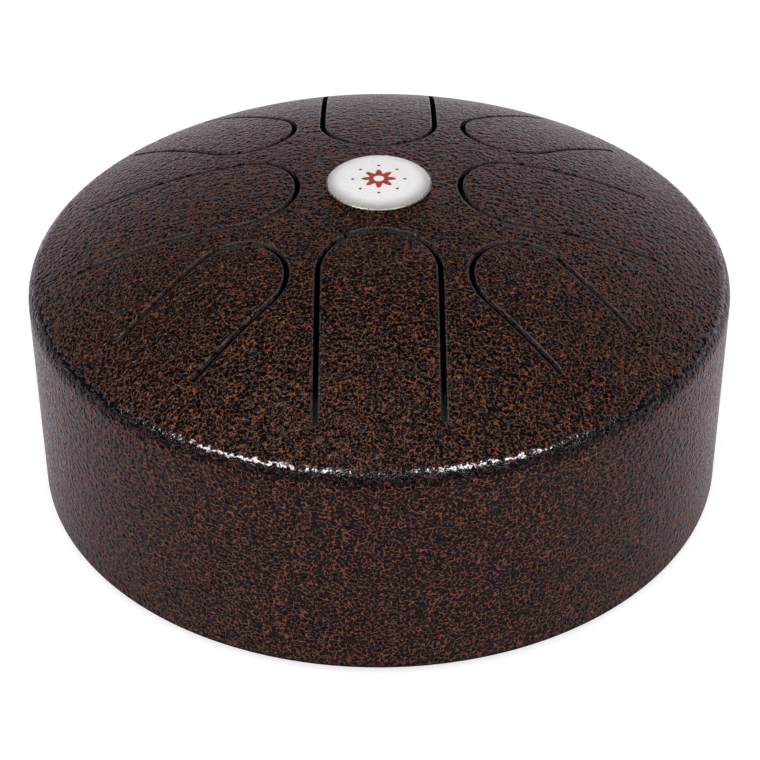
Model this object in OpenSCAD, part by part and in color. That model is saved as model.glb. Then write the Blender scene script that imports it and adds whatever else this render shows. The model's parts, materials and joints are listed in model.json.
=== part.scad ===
// Steel tongue drum. One spun steel head, domed on top and straight at the side, has eight
// tongues cut in its dome. A base plate with a sound port is welded inside the side's lower
// end, and carries four rubber feet. A round badge under clear resin sits on the crown.
// The drum stands on its feet at Z = 0, with its axis on Z and the front tongue towards -Y.

/* [Head] */
// Outside diameter of the drum
drum_d = 255; // [240:1:280]
// Thickness of the steel sheet of the head and its tongues
sheet_t = 2; // [1.5:0.1:2.4]
// Height of the side, from its lower edge to where its line would meet the dome's
side_h = 81; // [60:1:110]
// Radius of the flatter arc over the middle of the dome
crown_r = 380; // [300:5:440]
// Reach of the flatter arc from the drum's axis
crown_reach = 30; // [24:1:40]
// Radius of the rounder arc from there out to the bend
shoulder_r = 205; // [185:5:240]
// Outside radius of the bend between the dome and the side
bend_r = 7; // [4:0.5:10]
// Radius of the rounded corner at the side's lower edge
edge_r = 1.2; // [0.6:0.1:1.4]

/* [Tongues] */
// Width of the slots that part the tongues from the head
slot_w = 1.9; // [1.4:0.1:3]
// Width of the four long tongues, from slot middle to slot middle
long_w = 42; // [36:1:46]
// Distance of the long tongues' tips from the drum's axis, at slot middle
long_tip = 29; // [26:1:34]
// Width of the four short tongues, from slot middle to slot middle
short_w = 36; // [30:1:40]
// Distance of the short tongues' tips from the drum's axis, at slot middle
short_tip = 52; // [48:1:60]
// Length of the front tongue, from slot middle at its tip to its root
front_l = 79.5; // [70:0.5:83]
// Length of the front right tongue, from slot middle at its tip to its root
front_right_l = 51.5; // [44:0.5:60]
// Length of the right tongue, from slot middle at its tip to its root
right_l = 69; // [65:0.5:83]
// Length of the back right tongue, from slot middle at its tip to its root
back_right_l = 57; // [44:0.5:62]
// Length of the back tongue, from slot middle at its tip to its root
back_l = 83; // [70:0.5:85]
// Length of the back left tongue, from slot middle at its tip to its root
back_left_l = 64; // [44:0.5:65]
// Length of the left tongue, from slot middle at its tip to its root
left_l = 78; // [70:0.5:83]
// Length of the front left tongue, from slot middle at its tip to its root
front_left_l = 54; // [44:0.5:60]
// Hair gap that stands for the line across which a tongue flexes
flex_gap = 0.06; // [0.05:0.01:0.1]

/* [Base] */
// Thickness of the base plate
base_t = 2; // [1.5:0.1:3]
// Height of the base plate's underside over the side's lower edge
base_recess = 3.5; // [3:0.1:5]
// Gap between the base plate's edge and the inside of the head, before welding
base_fit = 0.2; // [0.1:0.05:0.5]
// Width of the weld bead along the plate and along the head
weld_leg = 3; // [2:0.1:3]
// Inside diameter of the sound port
port_d = 70; // [50:1:90]
// Outside radius of the bend into the port's turned up lip
lip_bend_r = 4; // [3.5:0.5:6]
// Height of the port's lip over the base plate's underside
lip_h = 8; // [7:0.5:12]

/* [Feet] */
// Distance of a foot's edge from the inside of the side
foot_inset = 16; // [8:0.5:24]
// Diameter of a foot where it meets the base plate
foot_top_d = 22; // [20:0.5:24]
// Diameter of a foot where it meets the floor
foot_low_d = 18; // [16:0.5:19.5]
// Height of a foot, up to the base plate
foot_h = 8.5; // [8:0.5:14]
// Width of the bevel round a foot's lower end
foot_bevel = 1; // [0.5:0.1:1.5]
// Diameter of the sunk seat for the screw's head
foot_seat_d = 9.6; // [9:0.1:10.5]
// Thickness of rubber between the screw's head and the base plate
foot_floor_t = 3; // [2:0.1:3.5]

/* [Screws] */
// Thread diameter of the feet's screws
screw_d = 4; // [3.5:0.1:4.4]
// Length of a screw under its head
screw_l = 12; // [11:0.5:16]
// Diameter of a screw's pan head
screw_head_d = 8; // [7:0.1:8.6]
// Height of a screw's pan head
screw_head_h = 2.8; // [2.2:0.1:3.2]
// Radius of the rounded shoulder of a screw's head
screw_head_round = 1.2; // [0.8:0.1:1.8]
// Width of the arms of the cross in a screw's head
cross_w = 0.9; // [0.7:0.1:1.2]
// Length of the cross in a screw's head, from end to end
cross_l = 4.4; // [3:0.1:5]
// Depth of the cross in a screw's head
cross_depth = 1.5; // [1:0.1:1.8]
// Gap round a screw in the holes it passes through
screw_gap = 0.25; // [0.15:0.05:0.5]
// Outside diameter of a washer
washer_d = 9; // [8.5:0.5:12]
// Thickness of a washer
washer_t = 0.8; // [0.5:0.1:1.2]
// Width of a nut across its flats
nut_w = 7; // [7:0.1:8]
// Height of a nut
nut_h = 3.2; // [2.4:0.1:4]

/* [Badge] */
// Diameter of the badge
badge_d = 37.4; // [30:0.2:44]
// Thickness of the adhesive pad under the badge
pad_t = 0.3; // [0.2:0.05:0.6]
// Width by which the pad stays inside the badge's edge
pad_inset = 0.8; // [0.4:0.1:2]
// Thickness of the badge's metal disc
disc_t = 0.5; // [0.3:0.05:1]
// Thickness of the clear resin over the middle of the disc
resin_t = 1.9; // [1.5:0.1:2.6]
// Radius of the resin's top arc
resin_r = 150; // [110:5:220]
// Radius of the resin's arc near its edge
resin_edge_r = 6; // [4:0.5:8]
// Thickness of the resin at its very edge
resin_rim_t = 0.25; // [0.15:0.05:0.4]
// Width of bare disc round the resin
resin_inset = 0.4; // [0.2:0.05:0.8]

/* [Hidden] */

// Angles around the axis are counted from the front, -Y, towards the right, +X
FRONT = 0;
RIGHT = 90;
BACK = 180;
LEFT = 270;
FRONT_RIGHT = (FRONT + RIGHT) / 2;
BACK_RIGHT = (RIGHT + BACK) / 2;
BACK_LEFT = (BACK + LEFT) / 2;
FRONT_LEFT = LEFT + FRONT_RIGHT;
foot_angles = [FRONT_RIGHT, BACK_RIGHT, BACK_LEFT, FRONT_LEFT];
tongue_lengths = [front_l, front_right_l, right_l, back_right_l, back_l, back_left_l, left_l,
                  front_left_l];
tongue_angles = [FRONT, FRONT_RIGHT, RIGHT, BACK_RIGHT, BACK, BACK_LEFT, LEFT, FRONT_LEFT];

// How far a cutting shape runs past what it cuts
overrun = 5;
// Gap between curved pieces that bear on one another
seat_gap = 0.05;
// How far a tighter arc stands proud of the wider arc that it leaves, so that the two cross
crossing = 0.002;
// Facets of a small round, of the wide revolved pieces and of the widest arcs
fine = 64;
wide = 180;
widest = 360;
// How far the wedge that cuts a pie out of its disc reaches, as a share of the disc's radius
wedge_share = 4;
// Sides of a nut
nut_sides = 6;

steel_color = [0.20, 0.13, 0.10];
inner_color = [0.14, 0.11, 0.10];
weld_color = [0.28, 0.26, 0.25];
rubber_color = [0.06, 0.06, 0.06];
zinc_color = [0.72, 0.73, 0.74];
white_color = [0.93, 0.92, 0.91];
clear_color = [0.85, 0.90, 0.95, 0.45];
tape_color = [0.55, 0.55, 0.53];

// Heights of the side's lower edge, of the base plate's underside and of its top face
head_z = foot_h - base_recess;
base_z = foot_h;
base_top_z = base_z + base_t;

drum_r = drum_d / 2;
inner_r = drum_r - sheet_t;
base_r = inner_r - base_fit;
feet_circle_r = inner_r - foot_inset - foot_top_d / 2;
port_r = port_d / 2;
badge_r = badge_d / 2;
resin_edge = badge_r - resin_inset;
screw_hole_r = screw_d / 2 + screw_gap;

// The dome's line is two arcs and the bend's arc, each tangent to the next. The first arc
// has its centre on the axis, and the angles are those of the arcs' ends from upright.
crown_end = asin(crown_reach / crown_r);
shoulder_x = (crown_r - shoulder_r) * sin(crown_end);
corner_z = head_z + side_h;
shoulder_z = corner_z - sqrt(pow(shoulder_r, 2) - pow(drum_r - shoulder_x, 2));
crown_z = shoulder_z - (crown_r - shoulder_r) * cos(crown_end);
bend_x = drum_r - bend_r;
bend_z = shoulder_z + sqrt(pow(shoulder_r - bend_r, 2) - pow(bend_x - shoulder_x, 2));
shoulder_end = atan2(bend_x - shoulder_x, bend_z - shoulder_z);
// The side's straight line ends just under the level of the bend's centre
side_top_z = bend_z - sqrt(bend_r * crossing);

// Levels between which the tongues' outlines are cut
cut_low_z = head_z + side_h / 2;
cut_top_z = crown_z + crown_r + overrun;

// The badge's layers follow the crown, so each is a shell about the crown's centre
pad_low_r = crown_r + seat_gap;
disc_low_r = pad_low_r + pad_t;
resin_low_r = disc_low_r + disc_t;

// The resin's line is a wide arc and a small one, tangent to each other. The small arc ends
// over the resin's edge, which is solved from the triangle of the two centres and that end.
resin_z = crown_z + resin_low_r + resin_t - resin_r;
resin_end_z = crown_z + sqrt(pow(resin_low_r, 2) - pow(resin_edge, 2)) + resin_rim_t;
resin_reach = norm([resin_edge, resin_end_z - resin_z]);
resin_side = resin_r - resin_edge_r;
resin_turn = acos((pow(resin_side, 2) + pow(resin_reach, 2) - pow(resin_edge_r, 2))
                  / (2 * resin_side * resin_reach));
resin_mid = atan2(resin_edge, resin_end_z - resin_z) - resin_turn;
resin_edge_x = resin_side * sin(resin_mid);
resin_edge_z = resin_z + resin_side * cos(resin_mid);

// Width of a tongue and distances of its tip and root from the axis, by its place in the ring
function is_long(i) = i % 2 == 0;
function tongue_w(i) = is_long(i) ? long_w : short_w;
function tip_at(i) = is_long(i) ? long_tip : short_tip;
function root_at(i) = tip_at(i) + tongue_lengths[i];

// The part of a disc between two angles from upright
module pie(r, from, to) {
    far = wedge_share * r;
    intersection() {
        circle(r, $fn = widest);
        polygon([[0, 0], far * [sin(from), cos(from)], far * [sin(to), cos(to)]]);
    }
}

// A bent strip of sheet, between two angles from upright
module bent_strip(r, t, from, to) {
    difference() {
        pie(r, from, to);
        circle(r - t, $fn = widest);
    }
}

// Half the section of the space under the dome's line, or under a line inside it
module under_dome(inset, low_z) {
    intersection() {
        union() {
            translate([0, crown_z]) pie(crown_r - inset, 0, crown_end);
            translate([shoulder_x, shoulder_z])
                pie(shoulder_r - inset + crossing, 0, shoulder_end);
            translate([bend_x, bend_z]) circle(bend_r - inset + 2 * crossing, $fn = wide);
            translate([0, low_z]) square([drum_r - inset, side_top_z - low_z]);
        }
        translate([0, low_z]) square([drum_r - inset, cut_top_z - low_z]);
    }
}

// Half the section of the head's sheet, with the side's lower corner rounded
module sheet_section() {
    difference() {
        under_dome(0, head_z);
        under_dome(sheet_t, head_z - overrun);
        translate([drum_r - edge_r, head_z + edge_r]) difference() {
            translate([0, -edge_r - overrun]) square(edge_r + overrun);
            circle(edge_r + crossing, $fn = fine);
        }
    }
}

// A slab with straight sides and a round tip, from its tip at tip_x to its end at end_x
module tongue_outline(tip_x, end_x, w) {
    arc_x = tip_x + w / 2;
    translate([arc_x, -w / 2]) square([end_x - arc_x, w]);
    translate([arc_x, 0]) intersection() {
        circle(w / 2, $fn = wide);
        translate([-w / 2, -w / 2]) square([w / 2, w]);
    }
}

// The upright prism over the outline of a tongue, grown by a margin except at its end
module tongue_prism(i, margin, end_x) {
    rotate([0, 0, tongue_angles[i] - 90]) translate([0, 0, cut_low_z])
        linear_extrude(cut_top_z - cut_low_z)
            tongue_outline(tip_at(i) - margin, end_x, tongue_w(i) + 2 * margin);
}

// The head, spun from one sheet, with an opening for each tongue and its slot
module drum_head() {
    color(steel_color) difference() {
        rotate_extrude($fn = wide) sheet_section();
        for (i = [0 : len(tongue_angles) - 1]) tongue_prism(i, slot_w / 2, root_at(i));
    }
}

// A tongue, of the same sheet as the dome
module tongue(i) {
    color(steel_color) intersection() {
        rotate_extrude($fn = wide) sheet_section();
        tongue_prism(i, -slot_w / 2, root_at(i) - flex_gap);
    }
}

// The base plate, with the port's lip bent up into the drum and a hole for each foot
module base_plate() {
    lip_x = port_r + lip_bend_r;
    color(inner_color) difference() {
        rotate_extrude($fn = wide) {
            translate([lip_x, base_z]) square([base_r - lip_x, base_t]);
            translate([lip_x, base_z + lip_bend_r])
                bent_strip(lip_bend_r, base_t, 180, 270);
            translate([port_r, base_z + lip_bend_r]) square([base_t, lip_h - lip_bend_r]);
        }
        at_feet() translate([0, 0, base_z - overrun])
            cylinder(r = screw_hole_r, h = base_t + 2 * overrun, $fn = fine);
    }
}

// The weld bead, in the corner under the base plate's edge
module base_weld() {
    weld_r = inner_r - seat_gap;
    color(weld_color) rotate_extrude($fn = wide)
        polygon([[weld_r, base_z], [weld_r - weld_leg, base_z], [weld_r, base_z - weld_leg]]);
}

// Whatever belongs to one foot, turned from its place on the front to an angle
module at_foot(angle) {
    rotate([0, 0, angle]) translate([0, -feet_circle_r, 0]) children();
}

module at_feet() {
    for (angle = foot_angles) at_foot(angle) children();
}

// A rubber foot, with a sunk seat for its screw's head
module foot(angle) {
    low_r = foot_low_d / 2;
    seat_z = foot_h - foot_floor_t;
    color(rubber_color) at_foot(angle) rotate_extrude($fn = fine)
        polygon([[foot_seat_d / 2, 0], [low_r - foot_bevel, 0], [low_r, foot_bevel],
                 [foot_top_d / 2, foot_h], [screw_hole_r, foot_h], [screw_hole_r, seat_z],
                 [foot_seat_d / 2, seat_z]]);
}

// The feet's screws, each with a cross in its pan head
module foot_screws() {
    head_top_z = foot_h - foot_floor_t;
    head_low_z = head_top_z - screw_head_h;
    round_x = screw_head_d / 2 - screw_head_round;
    color(zinc_color) at_feet() difference() {
        union() {
            rotate_extrude($fn = fine) {
                translate([0, head_low_z]) square([round_x, screw_head_h]);
                translate([round_x, head_low_z + screw_head_round])
                    square([screw_head_round, screw_head_h - screw_head_round]);
                translate([round_x, head_low_z + screw_head_round])
                    pie(screw_head_round, 90, 180);
            }
            translate([0, 0, head_top_z]) cylinder(d = screw_d, h = screw_l, $fn = fine);
        }
        for (turn = [0, 90]) rotate([0, 0, turn])
            translate([-cross_l / 2, -cross_w / 2, head_low_z - overrun])
                cube([cross_l, cross_w, overrun + cross_depth]);
    }
}

// The washers on the base plate, inside the drum
module foot_washers() {
    color(zinc_color) at_feet() translate([0, 0, base_top_z]) difference() {
        cylinder(d = washer_d, h = washer_t, $fn = fine);
        translate([0, 0, -overrun])
            cylinder(r = screw_hole_r, h = washer_t + 2 * overrun, $fn = fine);
    }
}

// The nuts on the washers
module foot_nuts() {
    across_corners = nut_w / cos(180 / nut_sides);
    color(zinc_color) at_feet() translate([0, 0, base_top_z + washer_t]) difference() {
        cylinder(d = across_corners, h = nut_h, $fn = nut_sides);
        translate([0, 0, -overrun])
            cylinder(r = screw_d / 2 + seat_gap, h = nut_h + 2 * overrun, $fn = fine);
    }
}

// One layer of the badge: a shell about the crown's centre, out to a given radius
module crown_layer(low_r, t, reach) {
    translate([0, 0, crown_z]) rotate_extrude($fn = wide)
        bent_strip(low_r + t, t, 0, asin(reach / low_r));
}

// The adhesive pad under the badge
module badge_pad() {
    color(tape_color) crown_layer(pad_low_r, pad_t, badge_r - pad_inset);
}

// The badge's bare white disc
module badge_disc() {
    color(white_color) crown_layer(disc_low_r, disc_t, badge_r);
}

// The clear resin, domed over the disc
module badge_resin() {
    color(clear_color) rotate_extrude($fn = wide) difference() {
        intersection() {
            union() {
                translate([0, resin_z]) pie(resin_r, 0, resin_mid);
                translate([resin_edge_x, resin_edge_z]) pie(resin_edge_r + crossing, 0, 90);
            }
            translate([0, resin_z]) square([resin_edge, resin_r + overrun]);
        }
        translate([0, crown_z]) circle(resin_low_r, $fn = widest);
    }
}

drum_head();
tongue(0);  // tongue_front
tongue(1);  // tongue_front_right
tongue(2);  // tongue_right
tongue(3);  // tongue_back_right
tongue(4);  // tongue_back
tongue(5);  // tongue_back_left
tongue(6);  // tongue_left
tongue(7);  // tongue_front_left
base_plate();
base_weld();
badge_pad();
badge_disc();
badge_resin();
foot(FRONT_RIGHT);  // foot_front_right
foot(BACK_RIGHT);  // foot_back_right
foot(BACK_LEFT);  // foot_back_left
foot(FRONT_LEFT);  // foot_front_left
foot_screws();
foot_washers();
foot_nuts();
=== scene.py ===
"""Steel tongue drum: its fine surfaces and its finish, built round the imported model.

The drum stands on its feet at Z = 0 with its axis on Z. Angles around the axis are counted
from the front, -Y, towards the right, +X. Lengths are in metres.
"""
import json
import math

import bmesh
import bpy
import numpy as np
from bpy.props import FloatProperty, FloatVectorProperty, PointerProperty
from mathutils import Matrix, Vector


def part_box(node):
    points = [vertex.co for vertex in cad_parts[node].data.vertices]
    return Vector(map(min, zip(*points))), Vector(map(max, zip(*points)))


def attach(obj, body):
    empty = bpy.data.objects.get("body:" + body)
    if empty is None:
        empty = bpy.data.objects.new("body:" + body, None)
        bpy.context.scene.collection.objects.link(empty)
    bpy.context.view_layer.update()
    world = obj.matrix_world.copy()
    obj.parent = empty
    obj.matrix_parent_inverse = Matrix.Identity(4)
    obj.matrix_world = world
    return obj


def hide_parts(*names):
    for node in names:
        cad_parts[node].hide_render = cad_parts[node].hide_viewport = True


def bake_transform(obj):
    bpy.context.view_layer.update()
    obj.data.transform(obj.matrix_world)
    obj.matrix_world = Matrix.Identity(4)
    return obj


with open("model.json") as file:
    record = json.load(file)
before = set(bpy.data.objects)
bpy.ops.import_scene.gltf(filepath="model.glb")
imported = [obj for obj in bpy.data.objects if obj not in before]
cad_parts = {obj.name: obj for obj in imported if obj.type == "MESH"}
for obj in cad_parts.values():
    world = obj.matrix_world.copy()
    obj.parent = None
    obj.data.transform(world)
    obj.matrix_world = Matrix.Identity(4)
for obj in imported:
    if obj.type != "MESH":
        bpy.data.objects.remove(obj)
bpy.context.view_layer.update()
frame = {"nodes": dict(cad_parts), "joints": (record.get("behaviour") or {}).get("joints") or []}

bl_info = {
    "name": "Steel Tongue Drum",
    "version": (1, 0, 0),
    "blender": (4, 5, 0),
    "location": "3D View > Sidebar > Tongue Drum",
    "description": "Hammered steel tongue drum with eight tongues and a domed badge",
    "category": "Add Mesh",
}

HEAD_LOW, HEAD_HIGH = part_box("drum_head")
LONG_TONGUES = ("tongue_front", "tongue_right", "tongue_back", "tongue_left")
SHORT_TONGUES = (
    "tongue_front_right", "tongue_back_right", "tongue_back_left", "tongue_front_left",
)
FEET = ("foot_front_right", "foot_back_right", "foot_back_left", "foot_front_left")
FASTENERS = ("foot_screws", "foot_washers", "foot_nuts")

# Points that are nearer to each other than this become one
WELD_DISTANCE = 1e-6
# Edges sharper than this stay sharp
SHARP_ANGLE = math.radians(40)
# Attribute that holds how much a point lies on the lip of a slot
LIP_MARK = "lip"
# Half the sector of a long tongue, chosen so that its border clears all tongues' sides
LONG_SECTOR = math.radians(27.8)
# Where on its axis a tongue's grid spreads from, from the tip's arc towards the root
STAR_SHARE = 0.45
# Rounding of a slot's lip, in steps from the lip's edge inwards, as shares of its radius
LIP_SHARES = 1 - np.cos(np.linspace(0, math.pi / 2, 5))
# Width of the plain row of faces beside a lip
LIP_HOLD = 0.0003
# Slot widths over which the lip fades towards the root, on a tongue and on the head
TONGUE_FADE, HEAD_FADE = 2.0, 0.5
# Share of the fade that stays plain at its start
FADE_REST = 0.01
# Distance between points along the dome's edge
RIM_STEP = 0.0019
# Numbers of points and rows: on the line of the side, and on the head round a tongue
SIDE_ROWS, BEND_STEPS, INNER_BEND_STEPS, EDGE_STEPS = 24, 14, 8, 5
RAY_POINTS, OUTER_ROWS, INNER_ROWS = 66, 16, 8
# The same on a tongue's sides, round its tip and from its edge to its middle
TONGUE_SIDE, TONGUE_TIP, TONGUE_ROWS = 64, 72, 10
# The same on the badge: along its arcs, over the disc, round its edge and about the axis
ARC_STEPS, DISC_STEPS, ROUND_STEPS, TURN_STEPS = 16, 24, 6, 128

# The badge: how far the disc stands in the resin, so that no air is between them, and
# the width over which a printed colour ends
RESIN_SINK = 0.00002
PRINT_EDGE = 0.0001
# The rosette: number of petals, and its valleys and open middle as shares of its radius
PETALS, VALLEY, OPEN_MIDDLE = 8, 0.58, 0.3
# Share of the enamel's colour in its darker patches, and its patches' and grain's scales
ENAMEL_PATCH, ENAMEL_SCALES, ENAMEL_RELIEF = 0.985, (300, 700, 2500), 0.000004
ENAMEL_ROUGHNESS = (0.25, 0.35)
# Where the resin's painted shade begins, as a share of its radius, and its roughness
PAINTED_SHADE_FROM, RESIN_SCALE, RESIN_ROUGHNESS = 0.74, 200, (0.02, 0.05)

# Range that holds most values of a noise, and its mean
NOISE_RANGE, NOISE_MEAN = (0.3, 0.7), 0.5
# Plain finishes: colour, its spread, roughness, scale of the mottling, depth of the grain
FINISHES = {
    "Foam tape": ((0.5, 0.5, 0.48), 0.1, 0.8, 900, 0.00005),
    "Satin black coat": ((0.022, 0.020, 0.020), 0.25, 0.42, 160, 0.00006),
    "Moulded rubber": ((0.028, 0.028, 0.029), 0.3, 0.7, 240, 0.00005),
    "Bright zinc": ((0.62, 0.63, 0.65), 0.12, 0.32, 500, 0.00001),
}
# Spread of a plain finish's roughness, and the scales of its roughness and grain
ROUGHNESS_SPREAD, ROUGHNESS_SCALE, GRAIN_SCALE = 0.15, 2, 12

# Coat, in cells: scale, detail and reach of the noise that bends the veins, and scale and
# range of the one that breaks them and of the one that speckles the ground
BEND_SCALE, BEND_DETAIL, BEND_REACH = 1.3, 1.5, 0.6
BREAK_SCALE, BREAK_RANGE = 1.6, (0.44, 0.52)
SPECK_SCALE, SPECK_RANGE = 2.3, (0.38, 0.56)
# Where a vein is full, and where its hem begins and ends, in half widths of the vein
VEIN_CORE, HEM_FROM, HEM_TO = 0.4, 1.1, 2.0
# Rise of the veins as a share of the dimples' depth, how fine the dimples' noise is, and
# scale of the drops in dimples
VEIN_RISE, DIMPLE_FINENESS, DROP_SCALE = 0.10, 0.4, 0.7
# Ranges of the drops' noise that hold a drop with its rim and a drop's middle
DROP_RANGE, CORE_RANGE = (0.33, 0.38), (0.37, 0.44)
# Angle from level at which the bend's band of drops begins, and how far up and down the
# noise moves its borders
DROPS_FROM, RAGGED = math.radians(45), 0.0045
# Height over which a border of the coat's bands fades
FADE = 0.0004
# Constant values of the coat's gloss, and the refraction of the enamel and the resin
COAT_GLOSS = {
    "Specular IOR Level": 0.23, "IOR": 1.5, "Specular Tint": (1.0, 0.88, 0.96, 1)}
BADGE_IOR = 1.5
# Heights over the side's upper end between which its veins thin out
THIN_FROM, THIN_TO = 4 * FADE, 7 * FADE
# Shares that are left: of the veins on the bend, of the dimples in the drops and of the
# drops on the slots' lips
BEND_VEINS, DROP_RELIEF, LIP_DROPS = 0.3, 0.12, 0.4

# Lamps: elevation and angle round the axis in degrees, distance, size, tilt in degrees,
# power, and the rays that pass the lamp by
LAMP_AIM = (0, 0, 0.08)
GLOSS_ONLY, NO_GLOSS, ALL_RAYS = ("diffuse", "transmission"), ("glossy",), ()
LAMPS = {
    "highlight_left": (58.3, -51.8, 1.1, (0.56, 0.32), 20, 4.3, GLOSS_ONLY),
    "highlight_right": (59.4, 46.6, 1.1, (0.42, 0.24), -18, 2.7, GLOSS_ONLY),
    "overhead": (103, 0, 1.1, (0.75, 0.50), 0, 0.8, ALL_RAYS),
    "fill": (42, 0, 1.6, (1.8, 1.0), 0, 18, NO_GLOSS),
}
# Strength of the world's light on the object, and of the white floor in the picture
WORLD_LIGHT, FLOOR_SEEN = 0.46, 0.70
# Distances from the axis between which the floor's glow sets in round the drum
GLOW_FROM, GLOW_TO = 0.08, 0.125
# The floor in reflections, darker in front and a little to the left, and the backdrop,
# which ends over the horizon and is darker to the left: two places, and the strengths there
FLOOR_DEPTH, FLOOR_ACROSS = (-0.11, 0.03, 0.0, 0.66), (-0.2, 0.2, 0.8, 0.86)
BACKDROP_RISE = (math.sin(math.radians(8)), math.sin(math.radians(19)), 1.0, 0.03)
BACKDROP_ACROSS = (-0.55, 0.15, 0.3, 1.0)
FLOOR_ROUGHNESS, FLOOR_GLOSS = 0.9, 0.1
SENSOR_WIDTH, CLIP_END = 36, 50
WHITE = (1, 1, 1)


def length(name, description, default):
    """A setting in metres."""
    return FloatProperty(name=name, description=description, default=default, unit="LENGTH")


def share(name, description, default):
    """A setting between 0 and 1."""
    return FloatProperty(
        name=name, description=description, default=default, subtype="FACTOR", min=0, max=1)


def degrees(name, description, default):
    """A setting that is an angle, whose default is given in degrees."""
    return FloatProperty(
        name=name, description=description, default=math.radians(default), unit="ROTATION")


def color(name, description, default):
    """A setting that is a colour."""
    return FloatVectorProperty(
        name=name, description=description, default=default, size=3, subtype="COLOR",
        min=0, max=1)


class DrumShape(bpy.types.PropertyGroup):
    """Sizes of the spun head and of the slots in it"""

    radius: length("Radius", "Outside radius of the drum", HEAD_HIGH.x)
    low_z: length(
        "Lower edge", "Height of the side's lower edge over the floor", HEAD_LOW.z)
    side_height: length(
        "Side height", "From the lower edge to where the dome meets the side", 0.081)
    sheet: length("Sheet", "Thickness of the steel sheet", 0.002)
    crown_radius: length(
        "Crown radius", "Radius of the flatter arc over the dome's middle", 0.380)
    crown_reach: length("Crown reach", "Reach of the flatter arc from the axis", 0.030)
    shoulder_radius: length(
        "Shoulder radius", "Radius of the rounder arc out to the bend", 0.205)
    bend_radius: length("Bend radius", "Outside radius of the bend into the side", 0.0070)
    edge_radius: length("Edge radius", "Rounding of the side's lower edge", 0.0012)
    slot: length("Slot width", "Width of the slots round the tongues", 0.0019)
    lip: length("Slot lip", "Rounding of the coat over the slots' edges", 0.00035)
    long_width: length("Long width", "Width of a long tongue between slot middles", 0.042)
    long_tip: length("Long tip", "Distance of a long tongue's tip from the axis", 0.029)
    short_width: length(
        "Short width", "Width of a short tongue between slot middles", 0.036)
    short_tip: length("Short tip", "Distance of a short tongue's tip from the axis", 0.052)
    flex_length: length(
        "Flex length", "Length over which a tongue bends at its root", 0.030)


class CoatLook(bpy.types.PropertyGroup):
    """Colours and grain of the hammered powder coat"""

    hem: color("Hem", "Colour of the coat right beside its veins", (0.0008, 0.0006, 0.0006))
    # Painted light and shade: the ground between the veins is lighter on the dome, as if lit
    # from above, and darker on the side
    dome_ground_painted_light: color(
        "Dome ground", "Colour of the coat between the veins on the dome",
        (0.0030, 0.0020, 0.0013))
    side_ground_painted_shade: color(
        "Side ground", "Colour of the coat between the veins on the side",
        (0.0003, 0.0002, 0.0003))
    # Painted light and shade over the veins' own copper: lighter on the side and darker on the
    # dome, set to how each part is lit
    dome_copper_painted_shade: color(
        "Dome copper", "Colour of the coat's veins on the dome", (0.250, 0.086, 0.038))
    side_copper_painted_light: color(
        "Side copper", "Colour of the coat's veins on the side", (0.320, 0.110, 0.064))
    glint: color(
        "Glint", "Reflection of the drops of coat round an edge", (0.160, 0.154, 0.154))
    glint_hem: color(
        "Glint hem", "Reflection of the coat at the rim of such a drop",
        (0.040, 0.011, 0.004))
    flake: share("Flake", "Share of metal flakes in the veins", 0.6)
    cell: length("Cell", "Distance between the coat's veins", 0.0017)
    vein: share("Vein", "Half the width of the veins as a share of their distance", 0.095)
    dimple: length("Dimple", "Size of the dimples in the coat", 0.0018)
    relief: length("Relief", "Depth of the dimples", 0.0016)
    roughness: share("Roughness", "Roughness of the coat's gloss", 0.22)
    vein_roughness: share("Vein roughness", "Roughness of the flakes in the veins", 0.60)
    drop_roughness: share(
        "Drop roughness", "Roughness of the drops of coat round an edge", 0.15)


class BadgeLook(bpy.types.PropertyGroup):
    """Sizes and colours of the badge on the crown"""

    enamel: color("Enamel", "Colour of the badge's enamel", (0.98, 0.955, 0.96))
    rim: color("Rim", "Colour of the disc's bare rim", (0.90, 0.87, 0.80))
    red: color("Rosette", "Colour of the printed rosette", (0.36, 0.030, 0.012))
    dark: color("Dots", "Colour of the printed dots", (0.030, 0.026, 0.024))
    rosette: length(
        "Rosette radius", "From the rosette's middle to its petals' tips", 0.0062)
    dots: length("Dots' circle", "Radius of the circle that the dots lie on", 0.0092)
    dot: length("Dot", "Radius of a dot", 0.0006)
    disc_rounding: length("Disc rounding", "Rounding of the disc's upper edge", 0.0003)
    resin_radius: length("Resin arc", "Radius of the clear resin's top arc", 0.150)
    resin_edge_radius: length(
        "Resin edge arc", "Radius of the resin's arc near its edge", 0.006)
    resin_rim: length("Resin rim", "Thickness of the resin at its edge", 0.00025)
    # Painted shade: the resin turns greyer where it falls to its edge
    resin_edge_painted_shade: color(
        "Resin shade", "Colour of the resin where it falls to its edge", (0.38, 0.37, 0.35))


class StudioLook(bpy.types.PropertyGroup):
    """The camera, the floor and the lamps"""

    pitch: degrees("Pitch", "Angle at which the camera looks down", 35.94)
    roll: degrees("Roll", "Turn of the camera about its own line of sight", -0.2636)
    distance: length("Distance", "From the camera to the point that it looks at", 0.8667)
    aim_x: length("Aim X", "Place of the point that the camera looks at", 0.0001)
    aim_z: length("Aim Z", "Height of the point that the camera looks at", 0.0343)
    lens: FloatProperty(
        name="Lens", description="Focal length on a 36 mm sensor, in millimetres",
        default=108.46)
    floor_size: length("Floor size", "Length of the floor's sides", 12.0)
    floor_color: color("Floor", "Colour of the floor", (0.55, 0.55, 0.55))
    glow: color("Glow", "Colour of the background in reflections", (0.95, 0.89, 1.0))


class DrumSettings(bpy.types.PropertyGroup):
    """All settings of the drum"""

    shape: PointerProperty(type=DrumShape)
    coat: PointerProperty(type=CoatLook)
    badge: PointerProperty(type=BadgeLook)
    studio: PointerProperty(type=StudioLook)


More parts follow.
